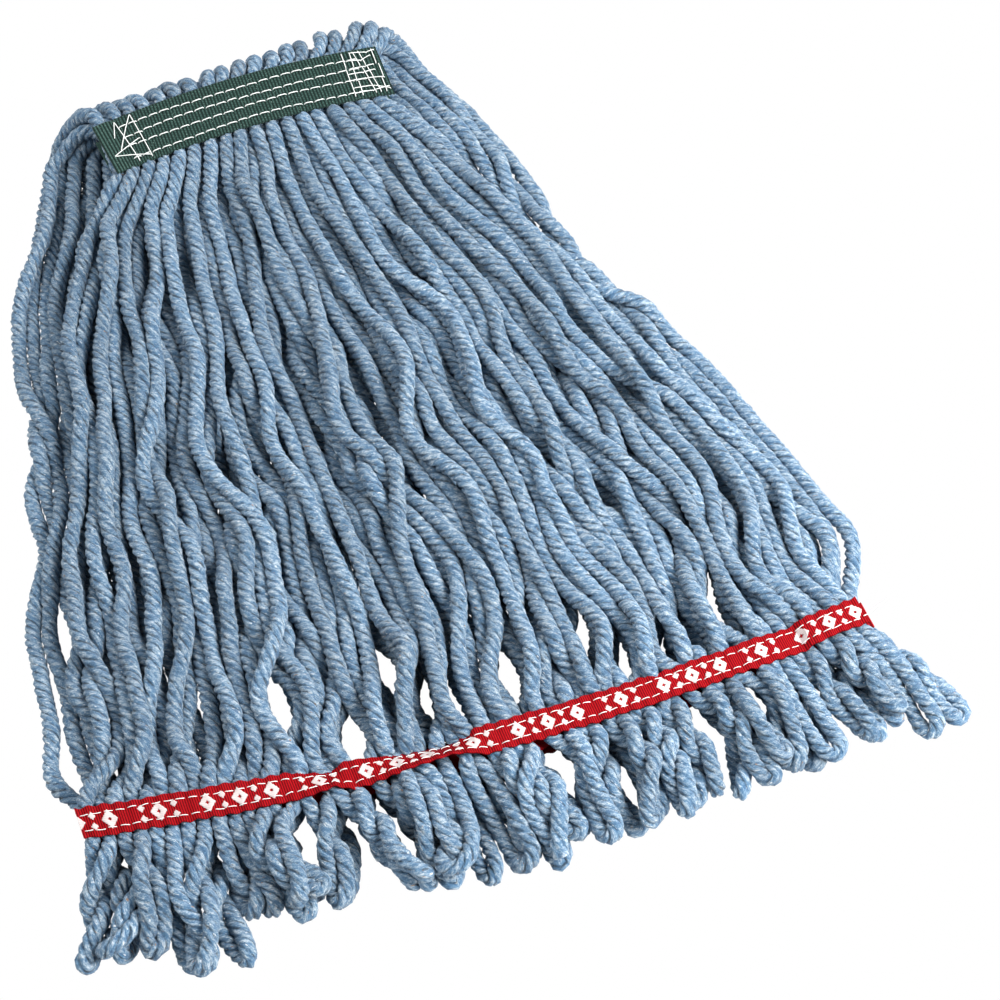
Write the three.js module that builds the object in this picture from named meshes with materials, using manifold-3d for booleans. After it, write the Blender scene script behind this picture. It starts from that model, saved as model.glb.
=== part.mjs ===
// String mop head: looped yarn folded at a sewn headband, with a tail tape across each half.
// Millimetres, +Z up. The mop lies on the plane z = 0 with its front half on top of its back half.
// X runs along the headband and -Y towards the tail. Pieces are laid out from a point under the
// headband's centre, and the finished mop is then moved so that its footprint is centred on the origin.
import * as THREE from "three";
import { mergeVertices } from "three/addons/utils/BufferGeometryUtils.js";
import Module from "manifold-3d";

const wasm = await Module();
wasm.setup();

// ---------------------------------------------------------------- driving dimensions
const GAP = 0.4; // clearance between neighbouring pieces
const BUNDLES = 12; // strand bundles across each half
const LOOPS = 8; // loop bundles across each fringe

const BAND = {
  length: 152,
  width: 29,
  bow: 5.5, // the middle of the band stands this far towards the fold
  tape: 1.6,
  core: 12, // yarn held between the outer and the inner tape
  top: 36, // height of the outer face at the origin
  tilt: THREE.MathUtils.degToRad(12),
};
const STITCH = { rows: [-10.6, -3.4, 2.5, 8.6], thread: 0.8, groove: 1.7, depth: 0.9, loop: 3.2 };
const TACK = { length: 13, height: 21, legs: 5, miter: 2.4 }; // miter: half height of the thread at a turn

const FOLD = { y: 21, z: 18, reach: 20.5, top: 20.5, bottom: 17.4, hollow: 5, bow: 2 };

const TAIL = { tape: 1.1, width: 13, rows: 3.4, stitch: 0.4, loop: 6 };
const FRONT_TAIL = { left: -184, right: 162, y: -355, skew: -32, bow: -12, yarn: [13.4, 21.4] };
const BACK_TAIL = { left: -183, right: 168, y: -353.5, skew: -31, bow: -12, yarn: [2.2, 10] };

const { lerp } = THREE.MathUtils;

// ---------------------------------------------------------------- materials
const YARN = new THREE.MeshStandardMaterial({ color: 0x73899f, roughness: 0.95, metalness: 0 });
const GREEN_WEB = new THREE.MeshStandardMaterial({ color: 0x2f4a41, roughness: 0.8, metalness: 0 });
const RED_WEB = new THREE.MeshStandardMaterial({ color: 0xa40a1c, roughness: 0.7, metalness: 0 });
const THREAD = new THREE.MeshStandardMaterial({ color: 0xd8ddd8, roughness: 0.6, metalness: 0 });

const mop = new THREE.Group();

function addPiece(parent, name, geometry, material) {
  const piece = new THREE.Mesh(geometry, material);
  piece.name = name;
  parent.add(piece);
  return piece;
}

const numbered = (name, i) => `${name}_${String(i + 1).padStart(2, "0")}`;

// ---------------------------------------------------------------- closed solids from rings
// A ring has a low and a high chain of equally many points. The first and last rings are capped.
function loft(rings) {
  const loops = rings.map(({ low, high }) => [...low, ...high.slice().reverse()]);
  const size = loops[0].length;
  const faces = [];
  const quad = (a, b, c, d) => faces.push(a, b, c, a, c, d);
  for (let r = 0; r + 1 < loops.length; r++) {
    for (let i = 0; i < size; i++) {
      const j = (i + 1) % size;
      const corners = [r * size + i, r * size + j, (r + 1) * size + j, (r + 1) * size + i];
      // the first and last sides split along matching diagonals, so neighbours keep an even gap
      if (j === 0) corners.push(corners.shift());
      quad(...corners);
    }
  }
  const last = (loops.length - 1) * size;
  for (let i = 0; i + 1 < size / 2; i++) {
    const across = size - 2 - i;
    quad(i, across + 1, across, i + 1);
    quad(last + i, last + i + 1, last + across, last + across + 1);
  }
  const points = loops.flat();
  return facingOut(points, faces);
}

function facingOut(points, faces) {
  let volume = 0;
  for (let i = 0; i < faces.length; i += 3) {
    const [a, b, c] = faces.slice(i, i + 3).map((k) => points[k]);
    volume += a.dot(b.clone().cross(c));
  }
  const index = volume < 0 ? faces.slice().reverse() : faces;
  const geometry = new THREE.BufferGeometry().setFromPoints(points);
  geometry.setIndex(index);
  geometry.computeVertexNormals();
  return geometry;
}

// ---------------------------------------------------------------- ribbons: tapes and threads
// A ribbon follows curve(t) in plan, from edge v0 to edge v1 and from z0 to its top, which may ripple.
function ribbon(curve, [t0, t1], [v0, v1], z0, top, steps) {
  const rings = [];
  for (let i = 0; i <= steps; i++) {
    const { x, y } = curve(lerp(t0, t1, i / steps));
    const z1 = typeof top === "function" ? top(i) : top;
    const low = [new THREE.Vector3(x, y + v0, z0), new THREE.Vector3(x, y + v1, z0)];
    const high = [new THREE.Vector3(x, y + v0, z1), new THREE.Vector3(x, y + v1, z1)];
    rings.push({ low, high });
  }
  return loft(rings);
}

const arch = (t) => 1 - (2 * t - 1) ** 2; // 0 at both ends of a line, 1 in its middle

const bandCurve = (t) => ({
  x: lerp(-BAND.length / 2, BAND.length / 2, t),
  y: BAND.bow * arch(t),
});

const tailCurve = (tail) => (t) => ({
  x: lerp(tail.left, tail.right, t),
  y: tail.y + tail.skew * (t - 0.5) + tail.bow * arch(t),
});

// ---------------------------------------------------------------- cutting
function toSolid(geometry) {
  const bare = geometry.clone();
  bare.deleteAttribute("normal");
  if (bare.getAttribute("uv")) bare.deleteAttribute("uv");
  const merged = mergeVertices(bare, 1e-4);
  const vertProperties = merged.attributes.position.array;
  const triVerts = new Uint32Array(merged.index.array);
  return new wasm.Manifold(new wasm.Mesh({ numProp: 3, vertProperties, triVerts }));
}

function toGeometry(solid) {
  const mesh = solid.getMesh();
  const geometry = new THREE.BufferGeometry();
  geometry.setAttribute("position", new THREE.BufferAttribute(mesh.vertProperties, 3));
  geometry.setIndex(new THREE.BufferAttribute(mesh.triVerts, 1));
  geometry.computeVertexNormals();
  return geometry;
}

function cut(body, tools) {
  let solid = toSolid(body);
  for (const tool of tools) solid = solid.subtract(toSolid(tool));
  return toGeometry(solid);
}

// ---------------------------------------------------------------- headband
const tackInset = TACK.length + 1.5; // the lockstitch rows stop this far from the band's ends
const rowSpan = [tackInset / BAND.length, 1 - tackInset / BAND.length];
const rowOffset = (i) => STITCH.rows[i];
const stitchRows = [...STITCH.rows.keys()];

// Each lockstitch row lies in its own groove, so the outer face stays flat where a clamp bears on it.
function stitchGroove(i) {
  const edges = [rowOffset(i) - STITCH.groove / 2, rowOffset(i) + STITCH.groove / 2];
  const ends = [rowSpan[0] - GAP / BAND.length, rowSpan[1] + GAP / BAND.length];
  return ribbon(bandCurve, ends, edges, -STITCH.depth, 1, 12);
}

function stitchRow(i) {
  const edges = [rowOffset(i) - STITCH.thread / 2, rowOffset(i) + STITCH.thread / 2];
  const steps = 2 * Math.round((BAND.length - 2 * tackInset) / STITCH.loop);
  const top = (k) => (k % 2 ? -0.05 : -0.35);
  return ribbon(bandCurve, rowSpan, edges, -STITCH.depth + GAP - 0.1, top, steps);
}

// The bar tack at each end is one zigzag of thread in a shallow pocket.
const tackCentre = (side) => side * (BAND.length / 2 - TACK.length / 2 - 0.8);

function tackPocket(side) {
  const pocket = new THREE.BoxGeometry(TACK.length, TACK.height, 2 * STITCH.depth);
  pocket.translate(tackCentre(side), BAND.bow * 0.25, 0);
  return pocket;
}

function tackZigzag(side) {
  const reach = TACK.height / 2 - 1.2 - TACK.miter;
  const span = TACK.length - 3;
  const chain = (dy) =>
    [...Array(TACK.legs + 1).keys()].map((i) => {
      const y = i % 2 ? reach : -reach;
      return new THREE.Vector2(-span / 2 + (span * i) / TACK.legs, y + dy);
    });
  const outline = [...chain(-TACK.miter), ...chain(TACK.miter).reverse()];
  const depth = STITCH.depth - GAP - 0.1;
  const zigzag = new THREE.ExtrudeGeometry(new THREE.Shape(outline), { depth, bevelEnabled: false });
  zigzag.translate(tackCentre(side), BAND.bow * 0.25, -depth - 0.1);
  return zigzag;
}

function buildHeadband() {
  const band = new THREE.Group();
  band.position.z = BAND.top;
  band.rotation.x = BAND.tilt;
  mop.add(band);
  const edges = [-BAND.width / 2, BAND.width / 2];
  const tape = ribbon(bandCurve, [0, 1], edges, -BAND.tape, 0, 16);
  const recesses = [...stitchRows.map(stitchGroove), tackPocket(-1), tackPocket(1)];
  addPiece(band, "headband_outer_tape", cut(tape, recesses), GREEN_WEB);
  const innerTop = -BAND.tape - BAND.core - 2 * GAP;
  const innerTape = ribbon(bandCurve, [0, 1], edges, innerTop - BAND.tape, innerTop, 16);
  addPiece(band, "headband_inner_tape", innerTape, GREEN_WEB);
  for (const i of stitchRows) addPiece(band, `headband_stitch_row_${i + 1}`, stitchRow(i), THREAD);
  addPiece(band, "headband_bartack_left", tackZigzag(-1), THREAD);
  addPiece(band, "headband_bartack_right", tackZigzag(1), THREAD);
}

// ---------------------------------------------------------------- sheets of yarn
// A station is one line across a sheet. inner and outer are the y and z of its two faces: the inner
// face looks at the other half. skew turns the line in plan, and bow bends it.
function pointOn(station, u, h) {
  const { left, right, inner, outer, skew = 0, bow = [0, 0] } = station;
  const y = lerp(inner[0], outer[0], h) + skew * (u - 0.5) + bow[0] * arch(u);
  const z = lerp(inner[1], outer[1], h) + bow[1] * arch(u);
  return new THREE.Vector3(lerp(left, right, u), y, z);
}

// One rounded bundle between the fractions u0 and u1 of each station's width.
function bundle(stations, u0, u1) {
  const corner = 0.25; // share of the width and height that each rounded corner takes
  const rings = stations.map((station) => {
    const inset = GAP / 2 / (station.right - station.left) + (station.pinch ?? 0) * (u1 - u0);
    const [a, b] = [u0 + inset, u1 - inset];
    const c = corner * (b - a);
    const across = [a, a + c, b - c, b];
    const low = [corner, 0, 0, corner];
    return {
      low: across.map((u, k) => pointOn(station, u, low[k])),
      high: across.map((u, k) => pointOn(station, u, 1 - low[k])),
    };
  });
  return loft(rings);
}

function addBundles(name, stations, count) {
  for (let i = 0; i < count; i++) {
    addPiece(mop, numbered(name, i), bundle(stations, i / count, (i + 1) / count), YARN);
  }
}

// The same line for both faces of a sheet that lies flat: y, then the heights of the two faces.
const flat = (y, [inner, outer], left, right, skew = 0, bow = 0) => ({
  inner: [y, inner],
  outer: [y, outer],
  left,
  right,
  skew,
  bow: [bow, 0],
});

// ---------------------------------------------------------------- fold and yarn core
// A point of the headband's own frame, y across and z through it, in the mop's frame.
const bandPoint = (y, z) => [
  y * Math.cos(BAND.tilt) - z * Math.sin(BAND.tilt),
  BAND.top + y * Math.sin(BAND.tilt) + z * Math.cos(BAND.tilt),
];
const bandBow = [BAND.bow * Math.cos(BAND.tilt), BAND.bow * Math.sin(BAND.tilt)];

const coreFaces = (y) => ({
  inner: bandPoint(y, -BAND.tape - GAP - BAND.core),
  outer: bandPoint(y, -BAND.tape - GAP),
});

// A line across the fold at an angle above (or below) the plane between the two halves.
function foldStation(degrees, lift, left, right) {
  const angle = THREE.MathUtils.degToRad(degrees);
  const [c, s] = [Math.cos(angle), Math.sin(angle)];
  const [tall, hollow] = s < 0 ? [FOLD.bottom, 1.6] : [FOLD.top, FOLD.hollow];
  const share = Math.max(s, 0);
  return {
    inner: [FOLD.y + FOLD.hollow * c, FOLD.z + lift + hollow * s],
    outer: [FOLD.y + FOLD.reach * c, FOLD.z + lift + tall * s],
    left,
    right,
    bow: [lerp(FOLD.bow, bandBow[0], share), bandBow[1] * share],
  };
}

function yarnCore() {
  const side = BAND.length / 2 - 0.5;
  const edge = BAND.width / 2 - 0.2;
  const stations = [
    { ...coreFaces(-edge), left: -side, right: side, bow: bandBow },
    { ...coreFaces(edge), left: -side, right: side, bow: bandBow },
    foldStation(68, GAP / 2, -79, 79),
    foldStation(45, GAP / 2, -82, 82),
    foldStation(22, GAP / 2, -84, 84),
    foldStation(0, GAP / 2, -86, 85),
  ];
  const steps = 12;
  const rings = stations.map((station) => {
    const across = [...Array(steps + 1).keys()].map((i) => i / steps);
    return {
      low: across.map((u) => pointOn(station, u, 0)),
      high: across.map((u) => pointOn(station, u, 1)),
    };
  });
  return loft(rings);
}

// ---------------------------------------------------------------- skirts and fringes
const bandEdge = -BAND.width / 2 - 0.2;
const bandEdgeY = bandPoint(bandEdge, 0)[0] - 0.3;

const tailStations = (tail) => {
  const { left, right, y, skew, bow, yarn } = tail;
  const half = TAIL.width / 2;
  return [
    flat(y + half + 1, yarn, left + 0.6, right + 0.4, skew, bow),
    flat(y - half, yarn, left, right, skew, bow),
  ];
};

const frontStations = [
  { ...flat(bandEdgeY, [17.7, 33], -75.5, 75.5), bow: bandBow },
  flat(-42, [17.1, 35.5], -101, 94, 0, 3),
  flat(-95, [16.3, 34], -124, 110),
  flat(-160, [15.1, 30.5], -143, 126),
  flat(-230, [13.9, 27], -160, 142, -8),
  flat(-300, [12.9, 24], -175, 155, -20, -6),
  ...tailStations(FRONT_TAIL),
];

const backStations = [
  foldStation(0, -GAP / 2, -86, 85),
  foldStation(-30, -GAP / 2, -89, 87),
  foldStation(-60, -GAP / 2, -94, 89),
  foldStation(-90, -GAP / 2, -100, 92),
  flat(-14, [16.6, 0.5], -120, 104),
  flat(-60, [15.8, 0.5], -141, 123),
  flat(-130, [14.6, 0.5], -159, 136),
  flat(-200, [13.4, 0.5], -171, 154),
  flat(-270, [12.2, 0.5], -181, 171, -10),
  flat(-322, [11.4, 0.5], -184, 175, -25, -8),
  ...tailStations({ ...BACK_TAIL, yarn: [10, 2.2] }),
];

// Loops run from the tail tape's lower edge to their rounded tips.
function fringeStations(tail, faces, tips) {
  const { left, right, y, skew, bow } = tail;
  const start = y - TAIL.width / 2 - GAP;
  return [
    flat(start, faces[0], left - 0.2, right + 0.2, skew, bow),
    flat(start - 20, faces[1], left - 6, right + 7, skew, bow),
    flat(start - 46, faces[2], left - 11, right + 21, skew, 0.7 * bow),
    { ...flat(start - tips, faces[3], left - 8, right + 27, skew, 0.4 * bow), pinch: 0.15 },
  ];
}

// Outer and inner tail tape with two stitch rows on the outer face. out is +1 or -1 in z.
function addTailTapes(name, tail, out) {
  const curve = tailCurve(tail);
  const edges = [-TAIL.width / 2, TAIL.width / 2];
  const faces = [Math.min(...tail.yarn), Math.max(...tail.yarn)];
  const [outerFace, innerFace] = out > 0 ? [faces[1], faces[0]] : faces;
  const layer = (face, side) => {
    const [near, far] = [face + side * GAP, face + side * (GAP + TAIL.tape)];
    return [Math.min(near, far), Math.max(near, far)];
  };
  const outer = layer(outerFace, out);
  const inner = layer(innerFace, -out);
  addPiece(mop, `${name}_tail_tape_outer`, ribbon(curve, [0, 1], edges, ...outer, 24), RED_WEB);
  addPiece(mop, `${name}_tail_tape_inner`, ribbon(curve, [0, 1], edges, ...inner, 24), RED_WEB);
  const seat = out > 0 ? outer[1] + 0.3 : outer[0] - 0.3 - TAIL.stitch;
  const steps = 2 * Math.round((tail.right - tail.left) / TAIL.loop / 2);
  const top = (k) => seat + TAIL.stitch * (k % 2 ? 1 : 0.5);
  for (const [row, v] of [["upper", TAIL.rows], ["lower", -TAIL.rows]]) {
    const thread = ribbon(curve, [0.01, 0.99], [v - 0.4, v + 0.4], seat, top, steps);
    addPiece(mop, `${name}_tail_stitch_row_${row}`, thread, THREAD);
  }
}

function buildHalves() {
  addBundles("front_strand_bundle", frontStations, BUNDLES);
  addTailTapes("front", FRONT_TAIL, 1);
  const frontFaces = [[13.4, 21.4], [12.2, 22], [12.2, 19.5], [12.2, 16]];
  addBundles("front_loop_bundle", fringeStations(FRONT_TAIL, frontFaces, 63), LOOPS);
  addBundles("back_strand_bundle", backStations, BUNDLES);
  addTailTapes("back", BACK_TAIL, -1);
  const backFaces = [[10, 2.2], [11, 0.6], [11, 0.5], [8.5, 0.5]];
  addBundles("back_loop_bundle", fringeStations(BACK_TAIL, backFaces, 60), LOOPS);
}

buildHeadband();
addPiece(mop, "headband_yarn_core", yarnCore(), YARN);
buildHalves();

const footprint = new THREE.Box3().setFromObject(mop, true);
const centre = footprint.getCenter(new THREE.Vector3());
mop.position.set(-centre.x, -centre.y, -footprint.min.z);

export default mop;
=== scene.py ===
"""Looks of the string mop head: relaxed strands of twisted yarn, woven tapes and stitching."""

import itertools
import math

import bpy
import numpy as np
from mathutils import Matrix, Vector


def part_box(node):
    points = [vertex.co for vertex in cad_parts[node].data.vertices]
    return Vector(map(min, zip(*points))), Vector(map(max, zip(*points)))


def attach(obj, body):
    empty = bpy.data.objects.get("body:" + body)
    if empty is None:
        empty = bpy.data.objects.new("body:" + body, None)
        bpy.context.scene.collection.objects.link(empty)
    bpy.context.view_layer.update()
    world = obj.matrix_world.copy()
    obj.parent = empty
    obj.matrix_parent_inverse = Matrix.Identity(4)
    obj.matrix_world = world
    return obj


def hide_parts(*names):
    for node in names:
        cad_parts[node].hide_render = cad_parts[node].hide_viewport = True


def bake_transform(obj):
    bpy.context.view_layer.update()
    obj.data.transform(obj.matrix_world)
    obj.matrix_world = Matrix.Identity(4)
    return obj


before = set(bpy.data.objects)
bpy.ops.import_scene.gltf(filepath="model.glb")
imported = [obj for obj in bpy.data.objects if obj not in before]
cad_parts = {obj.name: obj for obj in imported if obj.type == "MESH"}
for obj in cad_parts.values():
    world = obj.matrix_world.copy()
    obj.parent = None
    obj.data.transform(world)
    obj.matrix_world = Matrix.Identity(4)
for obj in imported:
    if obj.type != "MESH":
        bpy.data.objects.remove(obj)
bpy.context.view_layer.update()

MM = 0.001
TURN = 2 * math.pi
rng = np.random.default_rng(7)
joined = np.concatenate

# ---------- driving dimensions, millimetres
YARN_RADIUS = 3.8
TWIST_PITCH = 19.0  # one turn of the four plies
PLIES = 4
POINT_STEP = 5.0  # spacing of the simulated points along a strand
RING_STEP = 1.6  # spacing of the mesh rings along a strand
GUIDE_POINTS = 80  # of the line that a strand is laid out along
ROWS_ACROSS = 18  # strands in each layer at the headband
LAYERS = 3
STRANDS = ROWS_ACROSS * LAYERS
SKIRT_PIECES = 12  # pieces that each half's strands are shared out to
FRINGE_PIECES = 8

BAND = {"length": 152.0, "width": 29.0, "bow": 5.5, "tape": 1.6, "core": 12.0, "top": 36.0}
BAND_END = BAND["length"] / 2
BAND_EDGE = BAND["width"] / 2
BAND_TILT = math.radians(12)
FOLD = {"y": 21.0, "z": 18.0, "reach": 17.5, "top": 20.5, "bottom": 17.4}

FRONT_TAIL = {"left": -184.0, "right": 162.0, "y": -355.0, "skew": -32.0, "bow": -12.0}
BACK_TAIL = {"left": -183.0, "right": 168.0, "y": -353.5, "skew": -31.0, "bow": -12.0}
TAPE_WIDTH = 13.0
TAPE_THICK = 1.1
FRONT_TAPE_Z = 21.8  # underside of the front outer tape
BACK_TAPE_Z = 1.8  # yarn side of the back outer tape
INNER_TAPE_Z = {"front": 11.9, "back": 11.5}  # outer faces of the inner tapes
YARN_FROM_TAPE = (3.2, 5.6)  # from an outer tape to the two layers of strands at it

BAND_SQUEEZE = 0.78  # thickness of a strand between tapes
TAIL_SQUEEZE = 0.86
SKIRT_PULL = 0.004  # towards the place where a point was laid out, in each round
FOLD_PULL = 0.08
LOOP_PULL = 0.01
ROUNDS = 300  # of the contact solver
CONTACT = 0.96  # share of the yarn's radius at which strands touch
SINK = 0.05  # fall of a free point in a round

STITCH_ROWS = (-10.6, -3.4, 2.5, 8.6)  # lockstitch rows across the headband
TAIL_ROWS = (("upper", 3.4), ("lower", -3.4))
THREAD_RADIUS = 0.24
THREAD_STEP = 0.6
THREAD_SIDES = 6
BAND_STITCH = {"length": 5.0, "gap": 0.9, "rise": 0.45, "radius": 0.27}
TAIL_STITCH = {"length": 3.7, "gap": 1.2, "rise": 0.3, "radius": 0.2}
GREEN_RIB = 1.7
RED_RIB = 1.0
PUCKER_PITCH = 6.2  # small waves that stitching leaves in a tail tape

# (x, y, half width) of openings between strands, where the floor shows
PARTINGS = [
    (-167, -244, 3.5), (-89, -316, 5.5), (-66, -342, 6.5), (-39, -314, 4.5), (-29, -334, 4.5),
    (-19, -342, 3.5), (9, -338, 5.5), (46, -337, 4.5), (57, -350, 5.5), (75, -357, 4.5),
    (90, -352, 4.5), (105, -346, 4.5), (-101, -378, 4.5), (-76, -398, 4.5), (-60, -392, 4.5),
    (15, -382, 4.5), (37, -400, 4.5), (80, -398, 5.5), (102, -390, 4.5),
]
PARTING_REACH = 13.0  # half length of an opening along the strands
BESIDE_TAPE = -305.0  # openings past this y are at a tail tape


def arch(u):
    """0 at both ends of a line and 1 in its middle."""
    return 1 - (2 * u - 1) ** 2


def smooth(t):
    t = np.clip(t, 0, 1)
    return t * t * (3 - 2 * t)


def lerp(a, b, t):
    return a + (b - a) * t


def mop_origin():
    """The point under the headband's centre, which this script measures from."""
    low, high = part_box("headband_outer_tape")
    edge = BAND_EDGE * math.cos(BAND_TILT)
    return np.array([(low.x + high.x) / 2 / MM, low.y / MM + edge, 0.0])


ORIGIN = mop_origin()


def in_frame(point):
    """A point measured from ORIGIN in millimetres, in the frame's metres."""
    return (np.asarray(point, float) + ORIGIN) * MM


# ---------- outline of each half in plan
# (y at the middle of the line, left x, right x, skew of the line, bow of the line)
FRONT_LINES = [
    (-14.5, -75.0, 75.0, 0, 5.4),
    (-42, -101, 92, 0, 3),
    (-95, -123, 110, 0, 0),
    (-160, -139, 127, 0, 0),
    (-230, -155, 148, -8, 0),
    (-300, -169, 156, -20, -6),
    (-348.5, -180, 159, -32, -12),
]
BACK_LINES = [
    (21, -104, 104, 0, 1),
    (-14, -116, 117, 0, 0),
    (-60, -137, 126, 0, 0),
    (-130, -156, 128, 0, 0),
    (-200, -168, 155, -2, 0),
    (-270, -182, 177, -12, -4),
    (-310, -187, 187, -20, -8),
    (-347, -187, 186, -31, -12),
]


def line_point(lines, s, u):
    """x and y in plan at the share s of the way down a half and the share u across it."""
    table = np.array(lines, float)
    lengths = np.abs(np.diff(table[:, 0]))
    stops = joined([[0], np.cumsum(lengths)]) / lengths.sum()
    y, left, right, skew, bow = (np.interp(s, stops, table[:, k]) for k in range(5))
    return lerp(left, right, u), y + skew * (u - 0.5) + bow * arch(u)


def tail_point(tail, u):
    x = lerp(tail["left"], tail["right"], u)
    return x, tail["y"] + tail["skew"] * (u - 0.5) + tail["bow"] * arch(u)


def tail_normal(tail, u):
    """Unit vector in plan across the tail tape, pointing to the headband."""
    x, y = tail_point(tail, np.array([u - 0.01, u + 0.01]))
    slope = np.array([-(y[1] - y[0]), x[1] - x[0]])
    return slope / np.linalg.norm(slope)


def band_point(x, y, z):
    """The place of a point whose y is across the headband and whose z is through it."""
    bowed = y + BAND["bow"] * arch(x / BAND["length"] + 0.5)
    c, s = math.cos(BAND_TILT), math.sin(BAND_TILT)
    return np.stack([x + 0 * bowed, bowed * c - z * s, BAND["top"] + bowed * s + z * c], -1)


def front_roll(x):
    """Angle by which the front tail tape rolls about its length."""
    places = (-130, -100, -80, -73, -66, -48, -30, -21, -15, 20)
    degrees = (-18, 0, 42, 0, 8, 42, 52, 34, -4, 0)
    return np.radians(np.interp(x, places, degrees))


def front_lift(x):
    """Height that the front tail tape gains where it is rucked up."""
    places = (-100, -72, -50, 0, 112, 131, 134, 146, 162)
    return np.interp(x, places, (0, -1.5, 0, 0.5, 0.5, -2.5, 1.5, 2.5, 1.0))


# ---------- chains of points
class Chain:
    """A strand as points in millimetres. hold marks pinned points, pull draws the others home."""

    def __init__(self, points, hold, pull, thick, group):
        self.points = points
        self.hold = hold
        self.pull = pull
        self.thick = thick
        self.group = group


def resample(points, step, extras):
    """Evenly spaced points along a polyline, with its other values at those points."""
    gaps = np.linalg.norm(np.diff(points, axis=0), axis=1)
    along = joined([[0], np.cumsum(gaps)])
    count = max(int(round(along[-1] / step)), 2) + 1
    at = np.linspace(0, along[-1], count)
    even = np.stack([np.interp(at, along, points[:, k]) for k in range(3)], -1)
    return even, [np.interp(at, along, e) for e in extras]


def waves(s, lengths, sizes):
    """A sum of sine waves along s with random phases."""
    total = np.zeros_like(s)
    for length, size in zip(lengths, sizes):
        phase = rng.uniform(0, TURN)
        total = total + size * rng.uniform(0.4, 1.0) * np.sin(TURN * s / length + phase)
    return total


def drift(x, y, phase):
    """Sideways push shared by neighbouring strands, so that they wave together."""
    slow = 4.0 * np.sin(y / 25 + 1.2 * np.sin(x / 33 + phase) + phase)
    quick = 1.6 * np.sin(y / 15 - x / 26 + 2 * phase)
    return slow + quick


band_slots = [(row, layer) for layer in range(LAYERS) for row in range(ROWS_ACROSS)]
band_u = np.array([(row + 0.25 + 0.5 * (layer % 2)) / ROWS_ACROSS for row, layer in band_slots])
band_u = np.clip(band_u + rng.normal(0, 0.004, STRANDS), 0.01, 0.99)
band_layer = np.array([layer for _, layer in band_slots])


def tail_slots():
    """Share across a tail tape for each strand: the headband's order, a little shuffled."""
    wish = band_u + rng.normal(0, 0.024, STRANDS)
    slot = np.empty(STRANDS)
    slot[np.argsort(wish)] = (np.arange(STRANDS) + 0.5) / STRANDS
    return slot


front_u = tail_slots()
back_u = tail_slots()


def layer_height(layer):
    """Height in the headband's own frame of one layer of its yarn core."""
    return -BAND["tape"] - 0.4 - BAND["core"] * (layer + 0.5) / LAYERS


def strand_in_band(i, y):
    x = lerp(3 - BAND_END, BAND_END - 3, band_u[i])
    return band_point(x, y, layer_height(band_layer[i]))


def skirt(i, lines, target_u, z_line, start, tail_z, phase):
    """Guide points of a strand from start down to its place under the tail tape."""
    s = np.linspace(0, 1, GUIDE_POINTS)
    ends = smooth(s / 0.12) * smooth((1 - s) / 0.08)
    loose = ends * lerp(0.35, 1.0, smooth((s - 0.15) / 0.5))
    u = lerp(band_u[i], target_u, smooth((s - 0.1) / 0.8))
    u = np.clip(u + ends * waves(s, (0.45, 0.85), (0.014, 0.016)), 0.002, 0.998)
    x, y = line_point(lines, s, u)
    inwards = 1 - smooth((np.abs(2 * u - 1) - 0.75) / 0.25) * 0.6
    sideways = drift(x, y, phase) * inwards + waves(s * 350, (52, 88, 140), (1.0, 2.4, 3.4))
    x = x + loose * sideways
    z = z_line(s, i) + ends * waves(s * 350, (75, 120), (3.4, 4.6))
    z = lerp(z, tail_z, smooth((s - 0.94) / 0.06))
    path = np.stack([x, y, z], -1)
    begin = smooth(1 - s / 0.10)[:, None]
    return path + begin * (start - path[0])


def front_z(s, i):
    inner = lerp(20.0, 15.0, s)
    outer = np.interp(s, [0, 0.1, 0.4, 1], [31, 34, 30, 23])
    return lerp(outer, inner, band_layer[i] / (LAYERS - 1))


def back_z(s, i):
    upper = lerp(14.0, 8.0, s)
    return lerp(4.0, upper, band_layer[i] / (LAYERS - 1))


def bunched(x):
    """x moved away from the openings at the tail tapes, which leaves strands in bunches."""
    moved = x
    for at, y, wide in PARTINGS:
        if y < BESIDE_TAPE:
            d = x - at
            moved = moved + 0.62 * wide * np.sign(d) * np.exp(-((d / 9.0) ** 2))
    return moved


def under_tape(tail, u, v, slot_number):
    """Place of a strand at v across a tail tape, in one of two layers between the tapes."""
    x, y = tail_point(tail, u)
    layer = slot_number % 2
    if tail is BACK_TAIL:
        return np.array([bunched(x), y + v, BACK_TAPE_Z + YARN_FROM_TAPE[layer]])
    follow = (1.0, 0.35)[layer]
    rise = front_lift(x) - v * math.sin(front_roll(x))
    z = FRONT_TAPE_Z - YARN_FROM_TAPE[layer] + follow * rise
    return np.array([bunched(x), y + v, z])


def pinned_ends(count, first, last):
    """hold and thick for a chain whose two points at each end are squeezed between tapes."""
    hold = np.zeros(count)
    thick = np.ones(count)
    hold[[0, 1, -2, -1]] = 1
    thick[:2] = first
    thick[-2:] = last
    return hold, thick


def slide_to_tape(guide, place):
    """Moves the end of a guide sideways to its place at the tape."""
    guide[:, 0] += smooth(np.linspace(-9, 1, GUIDE_POINTS)) * (place[0] - guide[-1, 0])


stray_random = np.random.default_rng(11)
stray_reach = np.where(band_layer == 0, stray_random.normal(0, 9.0, STRANDS), 0)
stray_at = stray_random.uniform(0.4, 0.8, STRANDS)


def wander_across(guide, i):
    """Takes a strand of the outermost layer over its neighbours and back."""
    s = np.linspace(0, 1, len(guide))
    inwards = 1 - smooth((abs(2 * band_u[i] - 1) - 0.6) / 0.3)
    aside = inwards * stray_reach[i] * np.exp(-(((s - stray_at[i]) / 0.13) ** 2))
    guide[:, 0] += aside
    guide[:, 2] += 0.4 * np.abs(aside)


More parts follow.
